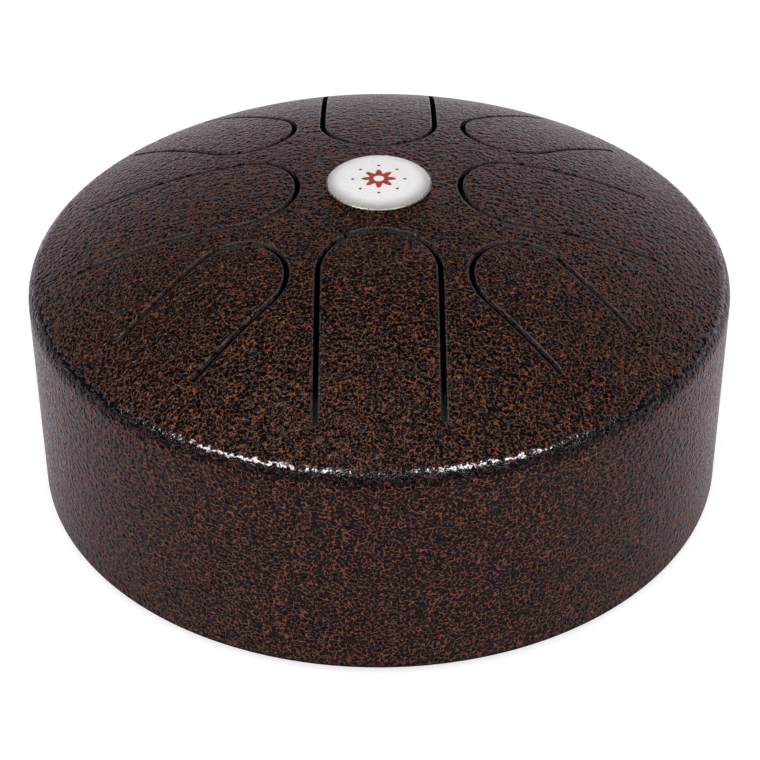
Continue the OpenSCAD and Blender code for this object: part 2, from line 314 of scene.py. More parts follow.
def arc(center, radius, start, end, steps):
    """Points (radius, height) of an arc: center + radius * (sin t, cos t), t from up."""
    t = np.linspace(start, end, steps + 1)
    return np.stack([center[0] + radius * np.sin(t), center[1] + radius * np.cos(t)], 1)


def smooth(x):
    """Smooth step: 3 x^2 - 2 x^3 of x held between 0 and 1."""
    x = np.clip(x, 0, 1)
    return x * x * (3 - 2 * x)


class DomeLine:
    """The dome's line: two arcs and the bend's arc, each tangent to the next.

    The first arc has its centre on the axis. The second leaves it at the crown's reach,
    and would meet the side's line at the corner, which the bend rounds.
    """

    def __init__(self, shape):
        self.shape = shape
        self.crown_end = math.asin(shape.crown_reach / shape.crown_radius)
        step = shape.crown_radius - shape.shoulder_radius
        self.shoulder_x = step * math.sin(self.crown_end)
        corner = shape.low_z + shape.side_height
        self.shoulder_z = corner - math.sqrt(
            shape.shoulder_radius ** 2 - (shape.radius - self.shoulder_x) ** 2)
        self.crown_z = self.shoulder_z - step * math.cos(self.crown_end)
        self.bend_x = shape.radius - shape.bend_radius
        reach = shape.shoulder_radius - shape.bend_radius
        run = self.bend_x - self.shoulder_x
        self.bend_z = self.shoulder_z + math.sqrt(reach ** 2 - run ** 2)
        self.shoulder_end = math.asin(run / reach)

    def edge_radius(self, inset):
        """Distance from the axis at which the dome's line passes into the bend."""
        return self.bend_x + (self.shape.bend_radius - inset) * math.sin(self.shoulder_end)

    def height(self, radius, inset=0.0):
        """Height of the dome's line, or of the line inside it, over points at a radius:
        centre height + sqrt(arc radius^2 - distance from the arc's centre^2)."""
        crown_r = self.shape.crown_radius - inset
        shoulder_r = self.shape.shoulder_radius - inset
        crown = self.crown_z + np.sqrt(np.maximum(crown_r ** 2 - radius ** 2, 0))
        run = radius - self.shoulder_x
        shoulder = self.shoulder_z + np.sqrt(np.maximum(shoulder_r ** 2 - run ** 2, 0))
        return np.where(radius < crown_r * math.sin(self.crown_end), crown, shoulder)

    def side_profile(self):
        """The head's line from the dome's outer edge down the side and up its inside."""
        s = self.shape
        inner = s.radius - s.sheet
        bend = (self.bend_x, self.bend_z)
        corner = (s.radius - s.edge_radius, s.low_z + s.edge_radius)
        outside = np.linspace(self.bend_z, corner[1], SIDE_ROWS)[1:-1]
        inside = np.linspace(s.low_z, self.bend_z, SIDE_ROWS)[:-1]
        quarter = math.pi / 2
        return np.concatenate([
            arc(bend, s.bend_radius, self.shoulder_end, quarter, BEND_STEPS),
            np.stack([np.full(len(outside), s.radius), outside], 1),
            arc(corner, s.edge_radius, quarter, 2 * quarter, EDGE_STEPS),
            np.stack([np.full(len(inside), inner), inside], 1),
            arc(bend, s.bend_radius - s.sheet, quarter, self.shoulder_end,
                INNER_BEND_STEPS),
        ])


def grid_faces(rows, columns, close_rows=False, close_columns=False):
    """Corner numbers of the quads of a grid of points that are numbered row by row."""
    row, column = np.meshgrid(
        np.arange(rows if close_rows else rows - 1),
        np.arange(columns if close_columns else columns - 1), indexing="ij")
    next_row = (row + 1) % rows
    next_column = (column + 1) % columns
    quads = np.stack([
        row * columns + column, row * columns + next_column,
        next_row * columns + next_column, next_row * columns + column], -1)
    return quads.reshape(-1, 4)


def build_piece(name, grids):
    """Makes one closed mesh of several grids, each given as its points, its faces and how
    much each point lies on a lip. Points that meet are merged, and the faces are turned
    outwards."""
    points, faces, lips, count = [], [], [], 0
    for grid_points, grid_quads, grid_lips in grids:
        points.append(grid_points.reshape(-1, 3))
        faces.append(grid_quads + count)
        lips.append(np.broadcast_to(grid_lips, grid_points.shape[:2]).ravel())
        count += len(points[-1])
    mesh = bpy.data.meshes.new(name)
    mesh.from_pydata(np.concatenate(points).tolist(), [], np.concatenate(faces).tolist())
    lip = mesh.attributes.new(LIP_MARK, "FLOAT", "POINT")
    lip.data.foreach_set("value", np.concatenate(lips).astype(np.float32))
    work = bmesh.new()
    work.from_mesh(mesh)
    bmesh.ops.remove_doubles(work, verts=work.verts, dist=WELD_DISTANCE)
    bmesh.ops.recalc_face_normals(work, faces=work.faces)
    work.to_mesh(mesh)
    work.free()
    mesh.polygons.foreach_set("use_smooth", np.ones(len(mesh.polygons), bool))
    mesh.set_sharp_from_angle(angle=SHARP_ANGLE)
    mesh.update()
    piece = bpy.data.objects.new(name, mesh)
    bpy.context.scene.collection.objects.link(piece)
    return piece


def revolve(profile, angles):
    """Points of a profile turned about Z: (r sin a, -r cos a, z) for each angle a."""
    radius, height = profile[:, :1], profile[:, 1:]
    return np.stack([
        radius * np.sin(angles), -radius * np.cos(angles),
        np.broadcast_to(height, (len(profile), len(angles)))], -1)


def turned_piece(name, profile):
    """A closed piece whose profile, from the axis back to the axis, is turned about Z."""
    points = revolve(profile, np.linspace(0, 2 * math.pi, TURN_STEPS, endpoint=False))
    return build_piece(
        name, [(points, grid_faces(*points.shape[:2], close_columns=True), 0.0)])


def finish_piece(piece, body, material, slot, *nodes):
    """Gives a new piece its material and its body, and hides the nodes it stands for. The slot
    is not used.
    """
    piece.data.materials.append(material)
    if body:
        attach(piece, body)
    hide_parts(*nodes)


class Tongue:
    """Place and outline of one tongue. Its own axes are u, out along it, and v, across."""

    def __init__(self, node, settings):
        shape = settings.shape
        joint = next(j for j in frame["joints"] if j["child"] == node)
        x, y, _ = joint["pos_m"]
        self.node = node
        self.root = math.hypot(x, y)
        self.angle = math.atan2(x, -y) % (2 * math.pi)
        is_long = node in LONG_TONGUES
        self.tip = shape.long_tip if is_long else shape.short_tip
        self.half_width = (shape.long_width if is_long else shape.short_width) / 2
        self.arc_u = self.tip + self.half_width
        # Half the angle of the dome's sector that holds the tongue
        self.half_sector = LONG_SECTOR if is_long else math.pi / 4 - LONG_SECTOR

    def place(self, u, v):
        """Turns u along the tongue and v across it into x and y."""
        sin_a, cos_a = math.sin(self.angle), math.cos(self.angle)
        return u * sin_a + v * cos_a, -u * cos_a + v * sin_a


def lip_drop(distance, lip):
    """How far the surface falls near an edge: lip - sqrt(lip^2 - (lip - distance)^2)."""
    short = np.clip(lip - distance, 0, None)
    return lip - np.sqrt(np.clip(lip ** 2 - short ** 2, 0, None))


def edge_distances(lip):
    """Distances of the rows of points next to a slot's edge."""
    return np.append(lip * LIP_SHARES, lip + LIP_HOLD)


def tongue_points(tongue, shape, dome):
    """Points of a tongue. Across it runs a section: under its middle line, out to its edge,
    up and back over its middle line. Along it that section follows the outline: one side,
    the round tip and the other side, each row a fixed share nearer the middle line."""
    half = tongue.half_width - shape.slot / 2
    side_u = np.linspace(tongue.root, tongue.arc_u, TONGUE_SIDE, endpoint=False)
    round_tip = np.linspace(-math.pi / 2, math.pi / 2, TONGUE_TIP + 1)
    core_u = np.concatenate([side_u, np.full(TONGUE_TIP + 1, tongue.arc_u), side_u[::-1]])
    plain, full = np.zeros(TONGUE_SIDE), np.ones(TONGUE_SIDE)
    reach_u = np.concatenate([plain, -np.cos(round_tip), plain])
    reach_v = np.concatenate([-full, np.sin(round_tip), full])
    fade = smooth((tongue.root - core_u) / (TONGUE_FADE * shape.slot))
    inset = edge_distances(shape.lip)
    inset = np.append(inset, np.linspace(inset[-1], half, TONGUE_ROWS + 1)[1:])[:, None]
    u = core_u + reach_u * (half - inset)
    v = reach_v * (half - inset)
    radius = np.hypot(u, v)
    drop = lip_drop(inset, shape.lip * fade)
    top = dome.height(radius) - drop
    bottom = dome.height(radius, shape.sheet) + drop
    x, y = tongue.place(u, v)
    over = np.stack([x, y, top], -1)
    under = np.stack([x, y, bottom], -1)
    lip = (inset <= shape.lip) * fade
    return np.concatenate([under[::-1], over]), np.concatenate([lip[::-1], lip])


def tongue_faces(rows, columns):
    """Quads of the tongue's skin, and of the face at its root, which joins each point of
    the first and last columns to the one above it."""
    skin = grid_faces(rows, columns)
    half = rows // 2
    low = np.arange(half - 1)
    high = rows - 1 - low
    first = np.stack([low, low + 1, high - 1, high], -1) * columns
    return np.concatenate([skin, first, first[:, ::-1] + columns - 1])


def outline_hits(tongue, shape, start_u, toward_u, toward_v):
    """Where rays from a point on the tongue's axis leave its opening, and the outward
    direction there. The opening is a strip that ends in the root line and a half circle."""
    half = tongue.half_width + shape.slot / 2
    with np.errstate(divide="ignore", invalid="ignore"):
        to_root = np.where(toward_u > 0, (tongue.root - start_u) / toward_u, np.inf)
        to_side = np.where(toward_v != 0, half / np.abs(toward_v), np.inf)
    # Distance to the half circle, from |start + t * toward - centre| = half
    back = start_u - tongue.arc_u
    a = toward_u ** 2 + toward_v ** 2
    b = back * toward_u
    to_arc = (-b + np.sqrt(np.maximum(b ** 2 - a * (back ** 2 - half ** 2), 0))) / a
    straight = np.minimum(to_root, to_side)
    on_arc = start_u + straight * toward_u < tongue.arc_u
    t = np.where(on_arc, to_arc, straight)
    u, v = start_u + t * toward_u, t * toward_v
    near = 1 + 1e-9
    on_root = ~on_arc & (to_root <= to_side * near)
    on_side = ~on_arc & (to_side <= to_root * near)
    out_u = np.where(on_arc, (u - tongue.arc_u) / half, on_root.astype(float))
    out_v = np.where(on_arc, v / half, np.sign(toward_v) * on_side)
    return u, v, out_u, out_v


def sector_rim_angles(tongue, shape, rim):
    """Angles of the points on the dome's edge within a tongue's sector. They are evenly
    spaced, and the nearest four are moved on to rays through the ends of the slot."""
    steps = round(2 * tongue.half_sector * rim / RIM_STEP)
    even = np.linspace(-tongue.half_sector, tongue.half_sector, steps + 1)
    angles = even.copy()
    start = star_u(tongue)
    toward_u = tongue.root - start
    outer, inner = tongue.half_width + shape.slot / 2, tongue.half_width - shape.slot / 2
    for toward_v in (-outer, -inner, inner, outer):
        a = toward_u ** 2 + toward_v ** 2
        b = start * toward_u
        t = (-b + math.sqrt(b ** 2 - a * (start ** 2 - rim ** 2))) / a
        angle = math.atan2(t * toward_v, start + t * toward_u)
        angles[np.argmin(np.abs(even - angle))] = angle
    return angles


def star_u(tongue):
    """Point on the tongue's axis from which its sector's grid spreads out."""
    return tongue.arc_u + STAR_SHARE * (tongue.root - tongue.arc_u)


def sector_points(tongue, shape, dome):
    """Points of the dome round one tongue's opening. Each column runs from the border of
    the tongue's sector to the opening on the inside of the sheet, up the slot's wall, and
    back to the border on the outside. The columns go once round the opening."""
    rim, inner_rim = dome.edge_radius(0), dome.edge_radius(shape.sheet)
    ray = np.linspace(0, rim, RAY_POINTS)[:-1]
    b = tongue.half_sector
    rim_angles = sector_rim_angles(tongue, shape, rim)
    border_r = np.concatenate([ray, np.full(len(rim_angles), rim), ray[:0:-1]])
    border_a = np.concatenate([np.full(len(ray), -b), rim_angles, np.full(len(ray) - 1, b)])
    border_u, border_v = border_r * np.cos(border_a), border_r * np.sin(border_a)
    start = star_u(tongue)
    edge_u, edge_v, out_u, out_v = outline_hits(
        tongue, shape, start, border_u - start, border_v)
    # The lip fades out where the tongue joins the head
    joint_half = tongue.half_width - shape.slot / 2
    past_joint = np.maximum(np.abs(edge_v) - joint_half, tongue.root - edge_u)
    fade = smooth(past_joint / (HEAD_FADE * shape.slot) - FADE_REST)
    near = edge_distances(shape.lip)[:, None]
    near_u, near_v = edge_u + out_u * near, edge_v + out_v * near

    def skin(rows, scale, inset, sign):
        t = np.linspace(0, 1, rows + 1)[1:, None]
        u = np.concatenate([near_u, near_u[-1] + t * (border_u * scale - near_u[-1])])
        v = np.concatenate([near_v, near_v[-1] + t * (border_v * scale - near_v[-1])])
        z = dome.height(np.hypot(u, v), inset)
        z[:len(near)] -= sign * lip_drop(near, shape.lip * fade)
        x, y = tongue.place(u, v)
        return np.stack([x, y, z], -1)

    outside = skin(OUTER_ROWS, 1.0, 0.0, 1)
    inside = skin(INNER_ROWS, inner_rim / rim, shape.sheet, -1)
    points = np.concatenate([inside[::-1], outside])
    lip = np.zeros(points.shape[:2])
    lip[len(inside):len(inside) + len(near) - 1] = fade
    lip[len(inside) - len(near) + 1:len(inside)] = fade
    return points, lip, tongue.angle + rim_angles


def new_group(name, inputs, outputs):
    """An empty shader node group and its end nodes. Its inputs and outputs are given as
    names and kinds of sockets."""
    group = bpy.data.node_groups.new(name, "ShaderNodeTree")
    for in_out, sockets in (("INPUT", inputs), ("OUTPUT", outputs)):
        for socket, kind in sockets.items():
            group.interface.new_socket(
                socket, in_out=in_out, socket_type="NodeSocket" + kind)
    return group, group.nodes.new("NodeGroupInput"), group.nodes.new("NodeGroupOutput")


def add_node(tree, kind, links=(), **values):
    """Adds a node. values set its own properties, and links its inputs: each is the name or
    number of an input with a value or with the output socket that feeds it."""
    node = tree.nodes.new(kind)
    for key, value in values.items():
        setattr(node, key, value)
    for socket, value in dict(links).items():
        if isinstance(value, bpy.types.NodeSocket):
            tree.links.new(value, node.inputs[socket])
        else:
            node.inputs[socket].default_value = value
    return node


def feed(tree, node, sockets):
    """Links output sockets to a node's inputs, given by name."""
    for name, socket in sockets.items():
        tree.links.new(socket, node.inputs[name])


def noise(tree, vector, scale, detail=2.0, roughness=0.5):
    """Noise over a vector, with a mean of about a half."""
    made = add_node(tree, "ShaderNodeTexNoise", {
        "Vector": vector, "Scale": scale, "Detail": detail, "Roughness": roughness})
    return made.outputs["Fac"]


def ramp(tree, value, low, high, to_low=0.0, to_high=1.0, kind="SMOOTHSTEP"):
    """A value between two limits turned to a range, by a smooth step or evenly."""
    made = add_node(tree, "ShaderNodeMapRange", {
        "Value": value, "From Min": low, "From Max": high, "To Min": to_low,
        "To Max": to_high}, interpolation_type=kind)
    return made.outputs["Result"]


def math_node(tree, operation, *values):
    """One arithmetic step on one to three values."""
    made = add_node(tree, "ShaderNodeMath", enumerate(values), operation=operation)
    return made.outputs[0]


def product(tree, first, second):
    """Product of two values."""
    return math_node(tree, "MULTIPLY", first, second)


def vector_node(tree, operation, links, output="Vector"):
    """One step on vectors."""
    return add_node(
        tree, "ShaderNodeVectorMath", links, operation=operation).outputs[output]


# Numbers of the Mix node's sockets, whose names repeat: its colours and its values
MIX_COLORS, MIX_COLOR_OUT = (6, 7), 2
MIX_VALUES, MIX_VALUE_OUT = (2, 3), 0


def mix_node(tree, kind, factor, places, ends, output):
    """A mix of two ends by a factor."""
    links = {0: factor, **dict(zip(places, ends))}
    return add_node(tree, "ShaderNodeMix", links, data_type=kind).outputs[output]


def mix_color(tree, factor, *ends):
    """Mix of two colours, each an output socket or three numbers."""
    ends = [
        end if isinstance(end, bpy.types.NodeSocket) else (*end, 1) for end in ends]
    return mix_node(tree, "RGBA", factor, MIX_COLORS, ends, MIX_COLOR_OUT)


def mix_value(tree, factor, *ends):
    """Mix of two values."""
    return mix_node(tree, "FLOAT", factor, MIX_VALUES, ends, MIX_VALUE_OUT)


def scaled_vector(tree, vector, size):
    """A place divided by a size, so that the size becomes one unit."""
    return vector_node(
        tree, "SCALE", {0: vector, "Scale": math_node(tree, "DIVIDE", 1.0, size)})


def split(tree, vector):
    """The parts X, Y and Z of a vector."""
    return add_node(tree, "ShaderNodeSeparateXYZ", {0: vector}).outputs


def bump(tree, height, distance):
    """A normal from a height, which counts as distance when it goes from 0 to 1."""
    made = add_node(tree, "ShaderNodeBump", {"Height": height, "Distance": distance})
    return made.outputs["Normal"]


def object_coordinates(tree):
    """The place of a point in its piece's own mesh, in metres."""
    return add_node(tree, "ShaderNodeTexCoord").outputs["Object"]


def distance_from_axis(tree, place):
    """How far a place is from the drum's axis: the length of (x, y, 0)."""
    flat = vector_node(tree, "MULTIPLY", {0: place, 1: (1, 1, 0)})
    return vector_node(tree, "LENGTH", {0: flat}, "Value")


def new_material(name, **constants):
    """A material with a Principled shader, whose constant sockets are set by name."""
    material = bpy.data.materials.new(name)
    material.use_nodes = True
    tree = material.node_tree
    shader = tree.nodes["Principled BSDF"]
    for socket, value in constants.items():
        shader.inputs[socket.replace("_", " ")].default_value = value
    return material, tree, shader


def hammered_group():
    """Grain of a hammered coat: veins on the borders of cells that a noise has bent, broken
    into strokes, a darker hem beside them, drops, and a relief of dimples."""
    group, start, end = new_group(
        "Hammered Grain",
        {"Vector": "Vector", "Cell": "Float", "Width": "Float", "Dimple": "Float"},
        {"Vein": "Float", "Ground": "Float", "Drop": "Float", "Height": "Float"})
    place, width = start.outputs["Vector"], start.outputs["Width"]
    cells = scaled_vector(group, place, start.outputs["Cell"])
    bend = add_node(group, "ShaderNodeTexNoise", {
        "Vector": cells, "Scale": BEND_SCALE, "Detail": BEND_DETAIL}).outputs["Color"]
    bend = vector_node(group, "SCALE", {0: bend, "Scale": BEND_REACH})
    bent = vector_node(group, "ADD", {0: cells, 1: bend})
    ridge = add_node(
        group, "ShaderNodeTexVoronoi", {"Vector": bent, "Scale": 1.0},
        feature="DISTANCE_TO_EDGE").outputs["Distance"]

    line = ramp(group, ridge, width, product(group, width, VEIN_CORE))
    breaks = ramp(group, noise(group, cells, BREAK_SCALE, 1.0), *BREAK_RANGE)
    hem = ramp(
        group, ridge, product(group, width, HEM_FROM), product(group, width, HEM_TO))
    specks = ramp(group, noise(group, cells, SPECK_SCALE, 1.0), *SPECK_RANGE)
    dimples = scaled_vector(group, place, start.outputs["Dimple"])
    relief = noise(group, dimples, 1.0, 1.0, DIMPLE_FINENESS)
    feed(group, end, {
        "Vein": product(group, line, breaks),
        "Ground": product(group, hem, specks),
        "Drop": noise(group, dimples, DROP_SCALE),
        "Height": math_node(
            group, "ADD", relief, product(group, line, VEIN_RISE))})
    return group


def hammered_material(coat, dome):
    """Glossy hammered powder coat, copper veins over a near black ground. Round the bend
    the veins thin out, and on its upper part and on the slots' lips the coat stands in
    drops."""
    material, tree, shader = new_material("Hammered coat", **COAT_GLOSS)
    place = object_coordinates(tree)
    grain = add_node(
        tree, "ShaderNodeGroup",
        {"Vector": place, "Cell": coat.cell, "Width": coat.vein, "Dimple": coat.dimple},
        node_tree=bpy.data.node_groups.get("Hammered Grain") or hammered_group()).outputs
    height = split(tree, place)["Z"]
    radius = dome.shape.bend_radius
    top = dome.bend_z + radius * math.cos(dome.shoulder_end)
    mid = dome.bend_z + radius * math.sin(DROPS_FROM)
    ragged = math_node(tree, "SUBTRACT", grain["Drop"], NOISE_MEAN)
    ragged = math_node(tree, "MULTIPLY_ADD", ragged, RAGGED, height)
    upper = ramp(tree, ragged, mid - FADE, mid)
    on_dome = ramp(tree, ragged, top, top + FADE)
    on_side = ramp(tree, height, dome.bend_z + THIN_TO, dome.bend_z + THIN_FROM)
    lip = add_node(tree, "ShaderNodeAttribute", attribute_name=LIP_MARK).outputs["Fac"]
    edge = math_node(
        tree, "MAXIMUM", math_node(tree, "SUBTRACT", upper, on_dome),
        product(tree, lip, LIP_DROPS))
    drop = product(tree, edge, ramp(tree, grain["Drop"], *DROP_RANGE))
    core = product(tree, edge, ramp(tree, grain["Drop"], *CORE_RANGE))
    low = dome.shape.low_z + dome.shape.edge_radius
    over_edge = ramp(tree, height, low, low + 2 * FADE)
    veined = math_node(
        tree, "MAXIMUM", on_dome, product(tree, on_side, over_edge))
    vein = product(tree, grain["Vein"], ramp(tree, veined, 0, 1, BEND_VEINS, 1.0))
    relief = product(tree, grain["Height"], ramp(tree, edge, 0, 1, 1.0, DROP_RELIEF))
    # The ground takes the dome's lighter or the side's darker tone: painted light on the dome,
    # painted shade on the side
    ground = mix_color(tree, on_dome, coat.side_ground_painted_shade, coat.dome_ground_painted_light)
    ground = mix_color(tree, grain["Ground"], coat.hem, ground)
    # The veins take the side's lighter or the dome's darker copper: painted light and shade
    copper = mix_color(tree, on_dome, coat.side_copper_painted_light, coat.dome_copper_painted_shade)
    look = mix_color(tree, drop, mix_color(tree, vein, ground, copper), coat.glint_hem)
    roughness = ramp(tree, vein, 0, 1, coat.roughness, coat.vein_roughness)
    feed(tree, shader, {
        "Base Color": mix_color(tree, core, look, coat.glint),
        "Roughness": ramp(tree, drop, 0, 1, roughness, coat.drop_roughness, "LINEAR"),
        "Metallic": math_node(
            tree, "MAXIMUM", drop, product(tree, vein, coat.flake)),
        "Normal": bump(tree, relief, coat.relief)})
    return material


def simple_material(name, **constants):
    """A finish with soft mottling of its colour and roughness and a fine grain."""
    base, spread, roughness, scale, relief = FINISHES[name]
    material, tree, shader = new_material(name, **constants)
    place = object_coordinates(tree)
    patches = ramp(tree, noise(tree, place, scale, 3.0), *NOISE_RANGE)
    feed(tree, shader, {
        "Base Color": mix_color(
            tree, patches, [c * (1 - spread) for c in base],
            [min(c * (1 + spread), 1) for c in base]),
        "Roughness": ramp(
            tree, noise(tree, place, ROUGHNESS_SCALE * scale), *NOISE_RANGE,
            roughness * (1 - ROUGHNESS_SPREAD), min(roughness * (1 + ROUGHNESS_SPREAD), 1)),
        "Normal": bump(tree, noise(tree, place, GRAIN_SCALE * scale, 3.0), relief)})
    return material


def resin_profile(badge, dome):
    """The resin's line from the axis out and back: a wide arc, a small arc tangent to it,
    the thin edge, and the crown's arc on which the resin lies."""
    low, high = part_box("badge_resin")
    edge = high.x
    center = high.z - badge.resin_radius
    end_z = low.z + badge.resin_rim
    side = badge.resin_radius - badge.resin_edge_radius
    reach = math.hypot(edge, end_z - center)
    turn = math.acos(
        (side ** 2 + reach ** 2 - badge.resin_edge_radius ** 2) / (2 * side * reach))
    mid = math.atan2(edge, end_z - center) - turn
    small = (side * math.sin(mid), center + side * math.cos(mid))
    end = math.atan2(edge - small[0], end_z - small[1])
    under = math.hypot(edge, low.z - dome.crown_z)
    return np.concatenate([
        arc((0, center), badge.resin_radius, 0, mid, ARC_STEPS),
        arc(small, badge.resin_edge_radius, mid, end, ARC_STEPS)[1:],
        arc((0, dome.crown_z), under, math.asin(edge / under), 0, ARC_STEPS)])


def disc_profile(badge, dome, resin):
    """The disc's line from the axis out and back: the arc under the resin, a rounded edge,
    and the crown's arc on the pad."""
    low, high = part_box("badge_disc")
    under = math.hypot(high.x, low.z - dome.crown_z)
    over = resin[-1, 1] - dome.crown_z + RESIN_SINK
    round_off = badge.disc_rounding
    reach = over - round_off
    end = math.asin((high.x - round_off) / reach)
    center = (reach * math.sin(end), dome.crown_z + reach * math.cos(end))
    return np.concatenate([
        arc((0, dome.crown_z), over, 0, end, DISC_STEPS),
        arc(center, round_off, end, math.pi / 2, ROUND_STEPS)[1:],
        arc((0, dome.crown_z), under, math.asin(high.x / under), 0, ARC_STEPS)])


def length_of(tree, x, y):
    """Length of a flat vector: sqrt(x^2 + y^2)."""
    return math_node(tree, "SQRT", math_node(
        tree, "ADD", product(tree, x, x), product(tree, y, y)))


def rosette_group():
    """A rosette of petals with an open middle: radius < tip * a wave of cos(petals * angle)
    between the valleys and 1, and a circle of as many dots, each found from the angle
    wrapped to a petal's share of a turn."""
    group, start, end = new_group(
        "Rosette", {"Vector": "Vector", "Tip": "Float", "Circle": "Float", "Dot": "Float"},
        {"Petals": "Float", "Dots": "Float"})
    place = split(group, start.outputs["Vector"])
    tip = start.outputs["Tip"]
    radius = length_of(group, place["X"], place["Y"])
    angle = math_node(group, "ARCTAN2", place["X"], place["Y"])

    def printed(large, small):
        return ramp(group, math_node(group, "SUBTRACT", large, small), 0, PRINT_EDGE)

    wave = math_node(group, "COSINE", product(group, angle, PETALS))
    wave = ramp(group, wave, -1, 1, VALLEY, 1.0, "LINEAR")
    petals = printed(product(group, tip, wave), radius)
    hollow = printed(radius, product(group, tip, OPEN_MIDDLE))
    half_share = math.pi / PETALS
    turned = math_node(group, "WRAP", angle, half_share, -half_share)
    across = product(group, radius, math_node(group, "SINE", turned))
    along = product(group, radius, math_node(group, "COSINE", turned))
    along = math_node(group, "SUBTRACT", along, start.outputs["Circle"])
    feed(group, end, {
        "Petals": product(group, petals, hollow),
        "Dots": printed(start.outputs["Dot"], length_of(group, across, along))})
    return group


def enamel_material(badge, edge):
    """White enamel with a printed rosette, and a bright bare rim outside the resin."""
    material, tree, shader = new_material("White enamel", IOR=BADGE_IOR)
    place = object_coordinates(tree)
    prints = add_node(
        tree, "ShaderNodeGroup",
        {"Vector": place, "Tip": badge.rosette, "Circle": badge.dots, "Dot": badge.dot},
        node_tree=bpy.data.node_groups.get("Rosette") or rosette_group()).outputs
    rim = ramp(tree, distance_from_axis(tree, place), edge - PRINT_EDGE, edge)
    patches, dull, grain = (noise(tree, place, scale) for scale in ENAMEL_SCALES)
    look = mix_color(
        tree, ramp(tree, patches, *NOISE_RANGE), [ENAMEL_PATCH * c for c in badge.enamel],
        badge.enamel)
    look = mix_color(tree, prints["Petals"], look, badge.red)
    look = mix_color(tree, prints["Dots"], look, badge.dark)
    feed(tree, shader, {
        "Base Color": mix_color(tree, rim, look, badge.rim),
        "Metallic": rim,
        "Roughness": ramp(tree, dull, *NOISE_RANGE, *ENAMEL_ROUGHNESS),
        "Normal": bump(tree, grain, ENAMEL_RELIEF)})
    return material


def resin_material(badge, edge):
    """Clear resin, greyer where it falls to its edge: painted shade."""
    material, tree, shader = new_material(
        "Clear resin", IOR=BADGE_IOR, Transmission_Weight=1.0)
    place = object_coordinates(tree)
    # Painted shade, growing towards the resin's edge
    shade = ramp(tree, distance_from_axis(tree, place), PAINTED_SHADE_FROM * edge, edge)
    feed(tree, shader, {
        "Base Color": mix_color(tree, shade, WHITE, badge.resin_edge_painted_shade),
        "Roughness": ramp(
            tree, noise(tree, place, RESIN_SCALE), *NOISE_RANGE, *RESIN_ROUGHNESS)})
    return material


def dress(nodes, material):
    """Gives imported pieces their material."""
    for node in nodes:
        piece = frame["nodes"][node]
        piece.data.materials.clear()
        piece.data.materials.append(material)


def coat_of(context):
    """The hammered material, made once."""
    settings = context.scene.tongue_drum
    return bpy.data.materials.get("Hammered coat") or hammered_material(
        settings.coat, DomeLine(settings.shape))


class TONGUEDRUM_OT_head(bpy.types.Operator):
    """Build the spun head with its openings for the tongues"""

    bl_idname = "tongue_drum.head"
    bl_label = "Head"

    def execute(self, context):
        settings = context.scene.tongue_drum
        shape = settings.shape
        dome = DomeLine(shape)
        grids, rim_angles = [], []
        for node in LONG_TONGUES + SHORT_TONGUES:
            points, lip, angles = sector_points(Tongue(node, settings), shape, dome)
            grids.append((points, grid_faces(*points.shape[:2], close_columns=True), lip))
            rim_angles.append(angles[:-1] % (2 * math.pi))
        side = revolve(dome.side_profile(), np.sort(np.concatenate(rim_angles)))
        grids.append((side, grid_faces(*side.shape[:2], close_columns=True), 0.0))
        piece = build_piece("head_shell", grids)
        finish_piece(piece, "drum", coat_of(context), "hammered_coat", "drum_head")
        return {"FINISHED"}


class TONGUEDRUM_OT_tongues(bpy.types.Operator):
    """Build the eight tongues in place of the imported ones"""

    bl_idname = "tongue_drum.tongues"
    bl_label = "Tongues"

    def execute(self, context):
        settings = context.scene.tongue_drum
        shape = settings.shape
        dome = DomeLine(shape)
        for node in LONG_TONGUES + SHORT_TONGUES:
            tongue = Tongue(node, settings)
            points, lip = tongue_points(tongue, shape, dome)
            piece = build_piece(
                node + "_skin", [(points, tongue_faces(*points.shape[:2]), lip)])
            finish_piece(piece, None, coat_of(context), "hammered_coat", node)
            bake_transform(piece)
        return {"FINISHED"}


class TONGUEDRUM_OT_badge(bpy.types.Operator):
    """Build the badge's clear resin and its disc, and dress its pad"""

    bl_idname = "tongue_drum.badge"
    bl_label = "Badge"

    def execute(self, context):
        settings = context.scene.tongue_drum
        badge = settings.badge
        dome = DomeLine(settings.shape)
        resin = resin_profile(badge, dome)
        edge = float(resin[:, 0].max())
        finish_piece(
            turned_piece("resin_dome", resin), "drum", resin_material(badge, edge),
            "clear_resin", "badge_resin")
        finish_piece(
            turned_piece("enamel_disc", disc_profile(badge, dome, resin)), "drum",
            enamel_material(badge, edge), "white_enamel", "badge_disc")
        dress(["badge_pad"], simple_material("Foam tape"))
        return {"FINISHED"}


class TONGUEDRUM_OT_base(bpy.types.Operator):
    """Dress the base plate and its weld"""

    bl_idname = "tongue_drum.base"
    bl_label = "Base"

    def execute(self, context):
        dress(["base_plate", "base_weld"], simple_material("Satin black coat"))
        return {"FINISHED"}


class TONGUEDRUM_OT_feet(bpy.types.Operator):
    """Dress the feet and their fasteners"""

    bl_idname = "tongue_drum.feet"
    bl_label = "Feet"

    def execute(self, context):
        dress(FEET, simple_material("Moulded rubber"))
        dress(FASTENERS, simple_material("Bright zinc", Metallic=1.0))
        return {"FINISHED"}


